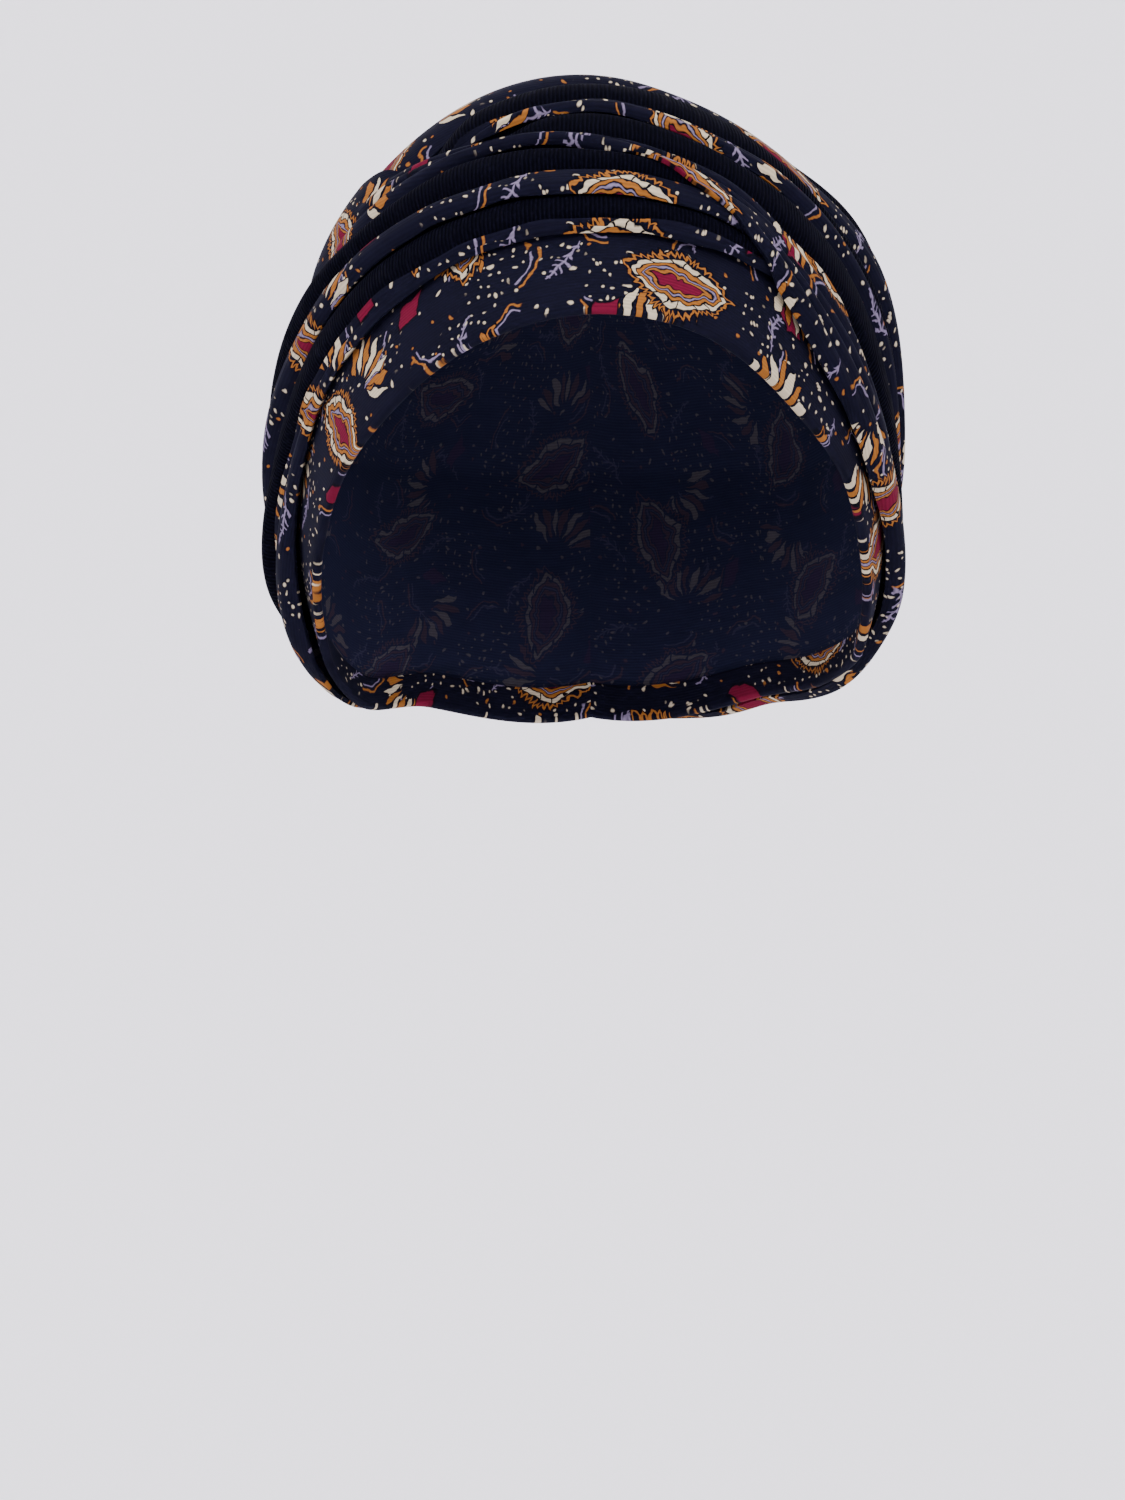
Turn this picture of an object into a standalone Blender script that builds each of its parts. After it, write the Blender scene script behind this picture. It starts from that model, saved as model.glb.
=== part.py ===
"""Turban headwrap: a close jersey cap with printed and plain ribbed folds wound over it.

Metres, +Z up, the front faces -Y. The origin is the inside of the crown, where the
cap sits on the top of the head.
"""

import math
from collections import namedtuple

import bmesh
import bpy
from mathutils import Vector
from mathutils.bvhtree import BVHTree

# Hollow for the head, measured from its centre
HEAD_HALF_BREADTH = 0.078
HEAD_FRONT = 0.095
HEAD_BACK = 0.097
CROWN_HEIGHT = 0.096
HEAD_DROP = 0.150
EAR_ROOM = 0.005
EAR_WAY = (0.93, 0.10, -0.35)
EAR_SPREAD = 0.08
NAPE_TUCK = 0.14

# Cloth
CAP_WALL = 0.0012
PRINT_WALL = 0.0013
RIB_WALL = 0.0012
CLOTH_GAP = 0.0004
HIDDEN_MARGIN = 0.0045
BROW_TUCK = 0.0012
NECK_TUCK = 0.0018
WOUND_DEPTH = 0.010

# The folds circle an axis that leaves the head's centre through the face
FACE_AXIS_DROP = math.radians(52.0)

HEAD_CENTRE = Vector((0.0, 0.0, -CROWN_HEIGHT))
FACE_AXIS = Vector((0.0, -math.cos(FACE_AXIS_DROP), -math.sin(FACE_AXIS_DROP)))
BROW_AXIS = Vector((0.0, -math.sin(FACE_AXIS_DROP), math.cos(FACE_AXIS_DROP)))
SIDE_AXIS = Vector((1.0, 0.0, 0.0))

# Each edge line of the wrap: degrees away from the face axis, in columns that go
# round that axis. Column 0 is the middle of the forehead, -90 and 90 are the sides
# and both ends are the middle of the nape.
COLUMNS = (-180, -150, -130, -110, -90, -70, -45, -20, 0, 20, 45, 70, 90, 110, 130, 150, 180)
EDGE_LINES = {
    "opening": (81, 74, 62, 60, 63, 65, 66, 70, 72, 71, 66, 65, 62, 60.5, 66.5, 75.5, 81),
    "brow": (84, 77, 64, 62.5, 76, 81.3, 83.2, 85.8, 86.6, 87.2, 86.6, 78, 72, 69, 69, 78, 84),
    "lower_roll": (89, 83, 67, 65, 80, 84.6, 86.4, 87.4, 87.9, 88.6, 87.8, 80, 75, 72, 72, 80, 88),
    "middle": (95, 88, 80, 80, 88.5, 93.3, 94.5, 94, 93, 92.6, 89, 83, 79, 76, 76, 84, 92),
    "upper_roll": (101, 95, 92, 93, 97, 99.2, 99.2, 97.4, 97, 96.5, 92, 87, 83, 80, 80, 88, 96),
    "twist_left": (107, 101, 99, 102, 105.5, 108, 105.3, 106, 103, 99.5, 95, 91, 87, 84, 84, 92, 100),
    "twist_right": (107, 101, 99, 102, 105.5, 108, 105.3, 106, 102.4, 91.5, 76, 71.5, 71, 68.5, 69, 77, 83),
    "side_roll": (118, 114, 116, 123, 130, 132, 120.2, 108, 104, 99.8, 91.3, 82, 77, 73, 74.5, 82, 89),
    "crown_fold": (110, 108, 108, 108, 108, 108, 107, 107.5, 111, 106.8, 104.2, 92, 81, 76.5, 78.5, 86, 93),
    "crown_roll": (112, 110, 110, 110, 110, 110, 110, 113.5, 116, 111.6, 109.8, 97, 85, 80, 83, 91, 98),
    "crest": (114, 112, 112, 112, 112, 112, 113, 124, 127, 126, 116.5, 103.5, 89, 84, 88, 96, 103),
    "rear_roll": (124, 122, 126, 134, 142, 145, 142.5, 139.5, 138, 136, 127, 113, 97, 91, 95, 103, 109),
    "crown_back": (130, 129, 133, 141, 149, 153, 150.5, 147.5, 146, 144, 136, 123, 106, 99, 103, 110, 116),
    "panel_rim": (110, 116, 124, 132, 140, 144, 142, 138, 136.5, 134.5, 127.5, 115, 98, 90.5, 94, 102, 110),
}

# How far each fold stands off the head at its middle, in shares of WOUND_DEPTH
RISE_COLUMNS = (-180, -135, -110, -90, -65, -45, -20, 0, 20, 45, 65, 90, 110, 135, 180)
RISES = {
    "brow_fold": (0.40, 0.40, 0.50, 0.40, 0.32, 0.30, 0.29, 0.28, 0.29, 0.30, 0.32, 0.35, 0.40, 0.40, 0.40),
    "lower_roll": (0.45, 0.90, 1.45, 0.97, 0.65, 0.55, 0.50, 0.45, 0.42, 0.40, 0.40, 0.40, 0.40, 0.40, 0.40),
    "middle_fold": (0.50, 0.80, 1.05, 1.22, 0.90, 0.80, 0.72, 0.66, 0.60, 0.55, 0.50, 0.50, 0.50, 0.50, 0.50),
    "upper_roll": (0.45, 0.75, 1.00, 1.25, 1.10, 0.90, 0.78, 0.74, 0.66, 0.60, 0.55, 0.50, 0.50, 0.50, 0.50),
    "twist_band": (0.50, 0.75, 0.85, 0.95, 0.78, 0.86, 0.90, 0.85, 0.80, 0.75, 0.60, 0.40, 0.45, 0.50, 0.45),
    "side_roll": (0.45, 0.70, 0.80, 0.90, 0.90, 0.90, 0.84, 0.80, 0.80, 0.80, 0.68, 0.42, 0.30, 0.45, 0.45),
    "crown_fold": (0.50, 0.75, 0.82, 0.90, 0.90, 0.90, 0.90, 0.90, 0.90, 0.92, 0.90, 0.50, 0.38, 0.50, 0.50),
    "crown_roll": (0.45, 0.75, 0.82, 0.90, 0.90, 0.90, 0.92, 0.92, 0.86, 0.86, 0.95, 0.55, 0.40, 0.50, 0.45),
    "crest_fold": (0.50, 0.75, 0.85, 0.95, 0.95, 0.80, 0.96, 0.92, 0.72, 0.88, 1.30, 0.75, 0.45, 0.55, 0.50),
    "rear_roll": (0.45, 0.70, 0.80, 0.90, 0.90, 0.85, 0.80, 0.75, 0.68, 0.85, 1.40, 0.80, 0.50, 0.55, 0.45),
}

# The folds in the order in which they are laid. A plain roll reaches under the printed
# folds on both sides of it; first and last are the columns where a fold ends. Its two
# edges keep a share of its rise, and the lower edge may lie lower on the right. Its tuck
# is how far a plain roll reaches past its lower edge line.
Fold = namedtuple("Fold", "name cloth lower upper first last low_left low_right high lengths widths tuck")
FOLDS = (
    Fold("rear_roll", "rib", "rear_roll", "crown_back", -176, 176, 0.45, 0.45, 0.10, 32, 6, HIDDEN_MARGIN),
    Fold("lower_roll", "rib", "lower_roll", "middle", -176, 48, 0.05, 0.05, 0.45, 24, 6, BROW_TUCK),
    Fold("upper_roll", "rib", "upper_roll", "twist_left", -176, 30, 0.45, 0.45, 0.50, 22, 6, HIDDEN_MARGIN),
    Fold("crown_roll", "rib", "crown_roll", "crest", -36, 176, 0.50, 0.45, 0.50, 24, 6, HIDDEN_MARGIN),
    Fold("side_roll", "rib", "side_roll", "crown_fold", -9, 176, 0.50, 0.30, 0.50, 22, 6, NECK_TUCK),
    Fold("brow_fold", "print", "brow", "lower_roll", -176, 44, 0.0, 0.0, 0.60, 24, 3, 0.0),
    Fold("middle_fold", "print", "middle", "upper_roll", -176, 36, 0.60, 0.60, 0.70, 24, 4, 0.0),
    Fold("crown_fold", "print", "crown_fold", "crown_roll", -30, 176, 0.60, 0.50, 0.70, 24, 4, 0.0),
    Fold("crest_fold", "print", "crest", "rear_roll", -176, 176, 0.65, 0.60, 0.70, 32, 6, 0.0),
    Fold("twist_band", "print", "twist_right", "side_roll", -176, 176, 0.65, 0.0, 0.60, 38, 6, 0.0),
)
CAP_LENGTHS = 36
CAP_WIDTHS = 10
PANEL_LENGTHS = 30
PANEL_WIDTHS = 7
KEEPER_LENGTHS = 8
KEEPER_WIDTHS = 16

# The keeper that covers the gathered ends of the folds at the nape
KEEPER_HALF_ANGLE = 11.0
KEEPER_TOP = 134.0
KEEPER_INSET = 3.0

# A fold is pressed flat over its last stretch, where others cover its end
FLAT_TAIL = 16.0

# The lower edge's share of the rise goes over from left to right in this stretch
LOW_START = -20.0
LOW_SPAN = 60.0

# How closely what lies below a fold is felt, and how often the fold is then eased
SAMPLES_PER_CELL = 3
EASING_PASSES = 2

# The rear panel climbs to its height over this many degrees
PANEL_SLOPE = 26.0
PANEL_RISE = 0.85

CLOTHS = {
    "print": ((0.013, 0.018, 0.043), PRINT_WALL),
    "rib": ((0.005, 0.006, 0.022), RIB_WALL),
}


def clear_scene():
    for thing in list(bpy.data.objects):
        bpy.data.objects.remove(thing, do_unlink=True)


def eased(columns, values, column):
    """Value of a table row at any column, on a smooth curve through its entries."""
    last = len(columns) - 1
    right = next((i for i in range(1, last) if column < columns[i]), last)
    left = right - 1

    def slope(i):
        a, b = max(i - 1, 0), min(i + 1, last)
        return (values[b] - values[a]) / (columns[b] - columns[a])

    span = columns[right] - columns[left]
    t = (column - columns[left]) / span
    start, end = values[left], values[right]
    return (
        start * (1 + 2 * t) * (1 - t) ** 2
        + end * t * t * (3 - 2 * t)
        + slope(left) * span * t * (1 - t) ** 2
        - slope(right) * span * t * t * (1 - t)
    )


def smooth_step(share):
    share = min(1.0, max(0.0, share))
    return share * share * (3 - 2 * share)


def turned_back(column):
    """The same column, between -180 and 180."""
    return (column + 180.0) % 360.0 - 180.0


def edge(name, column):
    return eased(COLUMNS, EDGE_LINES[name], turned_back(column))


def direction(column, angle):
    """Unit vector from the head's centre at a column and an angle from the face axis."""
    around, away = math.radians(column), math.radians(angle)
    across = math.cos(around) * BROW_AXIS + math.sin(around) * SIDE_AXIS
    return math.cos(away) * FACE_AXIS + math.sin(away) * across


def head_radius(ray):
    """Distance from the head's centre to the inside of the cap."""
    fore = HEAD_FRONT if ray.y < 0 else HEAD_BACK
    rise = CROWN_HEIGHT if ray.z > 0 else HEAD_DROP
    radius = 1 / math.sqrt((ray.x / HEAD_HALF_BREADTH) ** 2 + (ray.y / fore) ** 2 + (ray.z / rise) ** 2)
    nape = 2 * max(ray.y, 0) * max(-ray.z, 0)
    across, back, up = EAR_WAY
    ear = Vector((math.copysign(across, ray.x), back, up)).normalized()
    near_ear = math.exp(-(1 - ray.dot(ear)) / EAR_SPREAD)
    return radius * (1 - NAPE_TUCK * nape) + EAR_ROOM * near_ear


def height_below(ray, laid):
    """How far what is already laid stands off the head along a ray from its centre."""
    reach = 3 * CROWN_HEIGHT
    outside = HEAD_CENTRE + reach * ray
    top = 0.0
    for tree in laid:
        hit = tree.ray_cast(outside, -ray, reach)[0]
        if hit is not None:
            top = max(top, (hit - HEAD_CENTRE).length - head_radius(ray))
    return top


def cloth_material(name):
    colour = CLOTHS[name][0]
    material = bpy.data.materials.new(name)
    material.use_nodes = True
    shader = material.node_tree.nodes["Principled BSDF"]
    shader.inputs["Base Color"].default_value = (*colour, 1.0)
    shader.inputs["Roughness"].default_value = 0.9
    shader.inputs["Metallic"].default_value = 0.0
    return material


def finished_piece(name, mesh, cloth, wall, collection, materials):
    """Give an open sheet its thickness, outwards, and put it in the collection."""
    piece = bpy.data.objects.new(name, mesh)
    collection.objects.link(piece)
    mesh.materials.append(materials[cloth])
    mesh.shade_smooth()
    thickness = piece.modifiers.new("Cloth", "SOLIDIFY")
    thickness.thickness = wall
    thickness.offset = 1.0
    bpy.context.view_layer.update()
    return piece


def tree_of(piece):
    return BVHTree.FromObject(piece, bpy.context.evaluated_depsgraph_get())


def sheet(name, lengths, widths, place, closed=False):
    """A grid of cloth: place(u, v) gives each point, u along the fold and v across it."""
    cloth = bmesh.new()
    bmesh.ops.create_grid(cloth, x_segments=lengths, y_segments=widths, size=0.5)
    for vertex in cloth.verts:
        u = round((vertex.co.x + 0.5) * lengths)
        v = round((vertex.co.y + 0.5) * widths)
        vertex.co = place(u, v)
    if closed:
        bmesh.ops.remove_doubles(cloth, verts=cloth.verts, dist=CLOTH_GAP / 10)
    mesh = bpy.data.meshes.new(name)
    cloth.to_mesh(mesh)
    cloth.free()
    return mesh


def draped(column_at, angle_at, stand_at, lengths, widths, laid, closed=False):
    """Place a fold over what is laid: at its own height, or a gap above what is there.

    A closed one meets itself along its two ends and in a point at its upper edge.
    """
    finer = SAMPLES_PER_CELL
    below = {}
    for i in range(-1, finer * lengths + 2):
        for j in range(finer * widths + 1):
            u, v = i / (finer * lengths), j / (finer * widths)
            below[i, j] = height_below(direction(column_at(u), angle_at(u, v)), laid)
    heights = {}
    floor = {}
    for i in range(lengths + 1):
        for j in range(widths + 1):
            near = [
                below.get((finer * i + a, finer * j + b), 0.0)
                for a in range(-finer, finer + 1)
                for b in range(-finer, finer + 1)
            ]
            here = direction(column_at(i / lengths), angle_at(i / lengths, j / widths))
            beside = direction(column_at((i + 1) / lengths), angle_at((i + 1) / lengths, j / widths))
            facet_dip = CROWN_HEIGHT * (beside - here).length_squared / 8
            floor[i, j] = max(near) + CLOTH_GAP + facet_dip
            heights[i, j] = max(floor[i, j], stand_at(i / lengths, j / widths))
    for _ in range(EASING_PASSES):
        eased_heights = {}
        for (i, j), height in heights.items():
            sides = [heights.get(key, height) for key in ((i - 1, j), (i + 1, j), (i, j - 1), (i, j + 1))]
            eased_heights[i, j] = max(floor[i, j], (height + sum(sides) / 4) / 2)
        heights = eased_heights
    if closed:
        for j in range(widths + 1):
            heights[0, j] = heights[lengths, j] = max(heights[0, j], heights[lengths, j])
        middle = max(heights[i, widths] for i in range(lengths + 1))
        for i in range(lengths + 1):
            heights[i, widths] = middle

    def place(i, j):
        ray = direction(column_at(i / lengths), angle_at(i / lengths, j / widths))
        return HEAD_CENTRE + (head_radius(ray) + heights[i, j]) * ray

    return place


def make_cap(collection, materials):
    """The close cap: its edge is the opening and its wall goes on over the whole crown."""

    def place(i, j):
        column = -180 + 360 * i / CAP_LENGTHS
        start = edge("opening", column)
        ray = direction(column, start + (180 - start) * j / CAP_WIDTHS)
        return HEAD_CENTRE + head_radius(ray) * ray

    mesh = sheet("cap", CAP_LENGTHS, CAP_WIDTHS, place, closed=True)
    return finished_piece("cap", mesh, "print", CAP_WALL, collection, materials)


def make_rear_panel(laid, collection, materials):
    """The loose cloth over the back of the crown, held down all round by the folds."""
    rim_height = CAP_WALL + CLOTH_GAP

    def column_at(u):
        return -180 + 360 * u

    def angle_at(u, v):
        rim = edge("panel_rim", column_at(u))
        return rim + (180 - rim) * v

    def stand_at(u, v):
        climb = smooth_step((angle_at(u, v) - angle_at(u, 0)) / PANEL_SLOPE)
        return rim_height + (PANEL_RISE * WOUND_DEPTH - rim_height) * climb

    place = draped(column_at, angle_at, stand_at, PANEL_LENGTHS, PANEL_WIDTHS, laid, closed=True)
    mesh = sheet("rear_panel", PANEL_LENGTHS, PANEL_WIDTHS, place, closed=True)
    return finished_piece("rear_panel", mesh, "print", PRINT_WALL, collection, materials)


def make_fold(fold, laid, collection, materials):
    """One fold of the wrap, from its row in FOLDS.

    A plain roll has a flat margin, one grid cell wide, outside each of its edge lines.
    """
    wall = CLOTHS[fold.cloth][1]
    tucked = math.degrees(fold.tuck / CROWN_HEIGHT)
    margin = math.degrees(HIDDEN_MARGIN / CROWN_HEIGHT)
    hidden = 1 if fold.cloth == "rib" else 0
    rim_height = CAP_WALL + CLOTH_GAP

    def shown(v):
        """Share of the way between the edge lines, under 0 or over 1 on a margin."""
        return (v * fold.widths - hidden) / (fold.widths - 2 * hidden)

    def column_at(u):
        return fold.first + (fold.last - fold.first) * u

    def angle_at(u, v):
        column = column_at(u)
        low, high = edge(fold.lower, column), edge(fold.upper, column)
        past = shown(v) - min(1.0, max(0.0, shown(v)))
        inside = shown(v) - past
        beyond = tucked if past < 0 else margin
        return low + (high - low) * inside + beyond * past * (fold.widths - 2 * hidden)

    def stand_at(u, v):
        column = column_at(u)
        v = min(1.0, max(0.0, shown(v)))
        rise = eased(RISE_COLUMNS, RISES[fold.name], column) * WOUND_DEPTH
        tail = smooth_step((column - fold.first) / FLAT_TAIL) * smooth_step((fold.last - column) / FLAT_TAIL)
        low = fold.low_left + (fold.low_right - fold.low_left) * smooth_step((column - LOW_START) / LOW_SPAN)
        edge_share = low + (fold.high - low) * v
        rounding = 1 - abs(2 * v - 1) ** 2
        share = edge_share + (1 - edge_share) * rounding
        return rim_height + (rise - rim_height) * share * tail

    place = draped(column_at, angle_at, stand_at, fold.lengths, fold.widths, laid)
    mesh = sheet(fold.name, fold.lengths, fold.widths, place)
    return finished_piece(fold.name, mesh, fold.cloth, wall, collection, materials)


def make_nape_band(laid, collection, materials):
    """The plain keeper over the gathered ends of the folds at the nape."""

    def column_at(u):
        return 180 + KEEPER_HALF_ANGLE * (2 * u - 1)

    def angle_at(u, v):
        low = edge("opening", column_at(u)) + KEEPER_INSET
        return low + (KEEPER_TOP - low) * v

    def stand_at(u, v):
        return CAP_WALL + CLOTH_GAP

    place = draped(column_at, angle_at, stand_at, KEEPER_LENGTHS, KEEPER_WIDTHS, laid)
    mesh = sheet("nape_band", KEEPER_LENGTHS, KEEPER_WIDTHS, place)
    return finished_piece("nape_band", mesh, "print", PRINT_WALL, collection, materials)


clear_scene()
turban = bpy.data.collections.new("turban_headwrap")
bpy.context.scene.collection.children.link(turban)
cloth_materials = {name: cloth_material(name) for name in CLOTHS}

laid_trees = []
laid_trees.append(tree_of(make_cap(turban, cloth_materials)))
laid_trees.append(tree_of(make_rear_panel(laid_trees, turban, cloth_materials)))
for fold_row in FOLDS:
    laid_trees.append(tree_of(make_fold(fold_row, laid_trees, turban, cloth_materials)))
make_nape_band(laid_trees, turban, cloth_materials)
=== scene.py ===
import math

import bmesh
import bpy
import numpy as np
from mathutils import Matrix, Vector


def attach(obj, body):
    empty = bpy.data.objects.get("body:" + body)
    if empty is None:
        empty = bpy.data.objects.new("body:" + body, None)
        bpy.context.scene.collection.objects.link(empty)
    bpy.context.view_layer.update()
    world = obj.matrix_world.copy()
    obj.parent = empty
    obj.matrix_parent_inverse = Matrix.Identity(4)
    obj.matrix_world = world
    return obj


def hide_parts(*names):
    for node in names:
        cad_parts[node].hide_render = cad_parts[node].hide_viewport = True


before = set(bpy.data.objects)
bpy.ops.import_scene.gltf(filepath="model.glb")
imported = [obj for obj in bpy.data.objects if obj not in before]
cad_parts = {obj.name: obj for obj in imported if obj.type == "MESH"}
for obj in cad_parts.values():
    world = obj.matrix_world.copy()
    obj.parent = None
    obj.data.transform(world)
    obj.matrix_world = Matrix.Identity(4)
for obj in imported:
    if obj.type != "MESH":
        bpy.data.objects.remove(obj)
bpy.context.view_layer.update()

# Cap
# The close inner cap, cut and sewn from printed viscose jersey. Its front is the smooth
# forehead panel, its edge is turned in and stitched down, and everything else is wound
# and tacked onto it.

# The head that the cap is stretched over, in metres from its centre. The crown's inside
# is the origin.
HEAD_HALF_BREADTH = 0.078
HEAD_FRONT = 0.095
HEAD_BACK = 0.097
CROWN_HEIGHT = 0.096
HEAD_DROP = 0.150
HEAD_CENTRE = np.array((0.0, 0.0, -CROWN_HEIGHT))
EAR_PLACE = np.array((0.93, 0.10, -0.35))
EAR_WAY = EAR_PLACE / np.linalg.norm(EAR_PLACE)
EAR_ROOM = 0.005
EAR_SPREAD = 0.08
NAPE_TUCK = 0.14

# The folds circle an axis that leaves the head's centre through the face
FACE_AXIS_DROP = math.radians(52.0)
FACE_AXIS = np.array((0.0, -math.cos(FACE_AXIS_DROP), -math.sin(FACE_AXIS_DROP)))
BROW_AXIS = np.array((0.0, -math.sin(FACE_AXIS_DROP), math.cos(FACE_AXIS_DROP)))
SIDE_AXIS = np.array((1.0, 0.0, 0.0))

CLOTH_GAP = 0.0004
CAP_WALL = 0.0012
CAP_LENGTHS = 360
CAP_WIDTHS = 96
EDGE_ROUND = 0.42

# Degrees from the axis that leaves the face, at columns that go round it from the nape
# (-180) over the left of the picture, the middle of the forehead (0) and the right
COLUMNS = (-180, -150, -130, -110, -90, -70, -45, -20, 0, 20, 45, 70, 90, 110, 130, 150, 180)
OPENING_LINE = (81, 74, 62, 60, 63, 65, 66, 70, 72, 71, 66, 65, 62, 60.5, 66.5, 75.5, 81)


def eased(columns, values, column):
    """Value of a row at any columns, on a smooth curve through its entries."""
    columns, values = np.asarray(columns, float), np.asarray(values, float)
    last = len(columns) - 1
    slopes = np.empty(last + 1)
    slopes[1:-1] = (values[2:] - values[:-2]) / (columns[2:] - columns[:-2])
    slopes[0] = (values[1] - values[0]) / (columns[1] - columns[0])
    slopes[-1] = (values[-1] - values[-2]) / (columns[-1] - columns[-2])
    column = np.asarray(column, float)
    right = np.clip(np.searchsorted(columns, column, side="right"), 1, last)
    left = right - 1
    span = columns[right] - columns[left]
    t = (column - columns[left]) / span
    return (
        values[left] * (1 + 2 * t) * (1 - t) ** 2
        + values[right] * t * t * (3 - 2 * t)
        + slopes[left] * span * t * (1 - t) ** 2
        - slopes[right] * span * t * t * (1 - t)
    )


def turned_back(column):
    """The same columns, between -180 and 180."""
    return (np.asarray(column, float) + 180.0) % 360.0 - 180.0


def line(row, column):
    return eased(COLUMNS, row, turned_back(column))


def smooth_step(share):
    share = np.clip(share, 0.0, 1.0)
    return share * share * (3 - 2 * share)


def direction(column, angle):
    """Unit vectors from the head's centre at columns and angles from the face axis."""
    around, away = np.radians(column)[..., None], np.radians(angle)[..., None]
    across = np.cos(around) * BROW_AXIS + np.sin(around) * SIDE_AXIS
    return np.cos(away) * FACE_AXIS + np.sin(away) * across


def head_radius(ray):
    """Distance from the head's centre to the inside of the cap."""
    fore = np.where(ray[..., 1] < 0, HEAD_FRONT, HEAD_BACK)
    rise = np.where(ray[..., 2] > 0, CROWN_HEIGHT, HEAD_DROP)
    lengths = (ray[..., 0] / HEAD_HALF_BREADTH) ** 2 + (ray[..., 1] / fore) ** 2 + (ray[..., 2] / rise) ** 2
    nape = 2 * np.maximum(ray[..., 1], 0) * np.maximum(-ray[..., 2], 0)
    toward_ear = np.abs(ray[..., 0]) * EAR_WAY[0] + ray[..., 1] * EAR_WAY[1] + ray[..., 2] * EAR_WAY[2]
    near_ear = np.exp(-(1 - toward_ear) / EAR_SPREAD)
    return (1 - NAPE_TUCK * nape) / np.sqrt(lengths) + EAR_ROOM * near_ear


def cloth_sheet(name, lengths, widths, column, angle, height, closed=False, gauge=0.5, disc=False):
    """A grid of cloth that stands off the head by height, with a UV map in metres.

    column, angle and height are arrays of (lengths + 1, widths + 1); the map's x follows
    the cloth along the fold, measured at gauge of the width, and its y goes across it. A
    disc is mapped as a round cut instead, from its middle at the end of the width.
    """
    cloth = bmesh.new()
    bmesh.ops.create_grid(cloth, x_segments=lengths, y_segments=widths, size=0.5)
    mesh = bpy.data.meshes.new(name)
    cloth.to_mesh(mesh)
    cloth.free()
    flat = np.zeros(len(mesh.vertices) * 3, np.float32)
    mesh.vertices.foreach_get("co", flat)
    flat = flat.reshape(-1, 3)
    u = np.rint((flat[:, 0] + 0.5) * lengths).astype(int)
    v = np.rint((flat[:, 1] + 0.5) * widths).astype(int)
    ray = direction(column, angle)
    place = HEAD_CENTRE + (head_radius(ray) + height)[..., None] * ray
    measured = int(gauge * widths)
    along = np.zeros((lengths + 1, widths + 1))
    along[1:] = np.cumsum(np.linalg.norm(np.diff(place[:, measured], axis=0), axis=-1))[:, None]
    across = np.zeros((lengths + 1, widths + 1))
    across[:, 1:] = np.cumsum(np.linalg.norm(np.diff(place, axis=1), axis=-1), axis=1)
    across -= across[:, measured][:, None]
    if disc:
        away, around = across[:, -1:] - across, np.radians(column)
        along, across = away * np.sin(around), away * np.cos(around)
    mesh.vertices.foreach_set("co", place[u, v].astype(np.float32).ravel())
    corner = np.zeros(len(mesh.loops), np.int32)
    mesh.loops.foreach_get("vertex_index", corner)
    cut = np.stack((along[u, v], across[u, v]), axis=-1)[corner]
    layer = mesh.uv_layers.new(name="cloth")
    layer.data.foreach_set("uv", cut.astype(np.float32).ravel())
    if closed:
        cloth = bmesh.new()
        cloth.from_mesh(mesh)
        bmesh.ops.remove_doubles(cloth, verts=cloth.verts, dist=CLOTH_GAP / 20)
        cloth.to_mesh(mesh)
        cloth.free()
    mesh.update()
    piece = bpy.data.objects.new(name, mesh)
    bpy.context.scene.collection.objects.link(piece)
    return piece


def cloth_piece(piece, wall, right_side, wrong_side, node):
    """Give a sheet its thickness, a rounded edge and its two sides, and fix it to the body.
    """
    mesh = piece.data
    cut = np.zeros(len(mesh.loops) * 2, np.float32)
    mesh.uv_layers["cloth"].data.foreach_get("uv", cut)
    length, width = np.ptp(cut.reshape(-1, 2), axis=0).tolist()
    area = sum(face.area for face in mesh.polygons)
    area = min(area, width * length)
    mesh.materials.append(right_side)
    mesh.materials.append(wrong_side)
    mesh.shade_smooth()
    thickness = piece.modifiers.new("Cloth", "SOLIDIFY")
    thickness.thickness = wall
    thickness.offset = 1.0
    thickness.material_offset = 1
    edge_round = piece.modifiers.new("Turned edge", "BEVEL")
    edge_round.width = wall * EDGE_ROUND
    edge_round.segments = 2
    edge_round.limit_method = "ANGLE"
    edge_round.angle_limit = math.radians(60)
    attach(piece, "root")
    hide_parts(node)


def linear(text):
    """sRGB hex to linear red, green, blue and full alpha."""
    values = [int(text[i:i + 2], 16) / 255 for i in (1, 3, 5)]
    return (*[v / 12.92 if v <= 0.04045 else ((v + 0.055) / 1.055) ** 2.4 for v in values], 1.0)


def add(tree, kind, inputs=None, **settings):
    """Add a shader node with its settings and inputs.

    An input is a value, a socket, or a node whose first output is meant.
    """
    made = tree.nodes.new("ShaderNode" + kind)
    for name, value in settings.items():
        setattr(made, name, value)
    for socket, source in (inputs or {}).items():
        if isinstance(source, bpy.types.Node):
            source = source.outputs[0]
        if isinstance(source, bpy.types.NodeSocket):
            tree.links.new(source, made.inputs[socket])
        else:
            made.inputs[socket].default_value = source
    return made


SHEEN_ROUGHNESS = 0.45
MM_PER_M = (1000.0, 1000.0, 1000.0)


def cloth_material(name, roughness, sheen, sheen_tint, gloss):
    """A plain cloth: its shader, its tree and its UV map in millimetres."""
    material = bpy.data.materials.new(name)
    material.use_nodes = True
    tree = material.node_tree
    shader = tree.nodes["Principled BSDF"]
    shader.inputs["Roughness"].default_value = roughness
    shader.inputs["Sheen Weight"].default_value = sheen
    shader.inputs["Sheen Roughness"].default_value = SHEEN_ROUGHNESS
    shader.inputs["Sheen Tint"].default_value = linear(sheen_tint)
    shader.inputs["Specular IOR Level"].default_value = gloss
    mapped = add(tree, "UVMap", uv_map="cloth")
    millimetres = add(tree, "VectorMath", {0: mapped, 1: MM_PER_M}, operation="MULTIPLY")
    return material, tree, shader, millimetres


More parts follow.
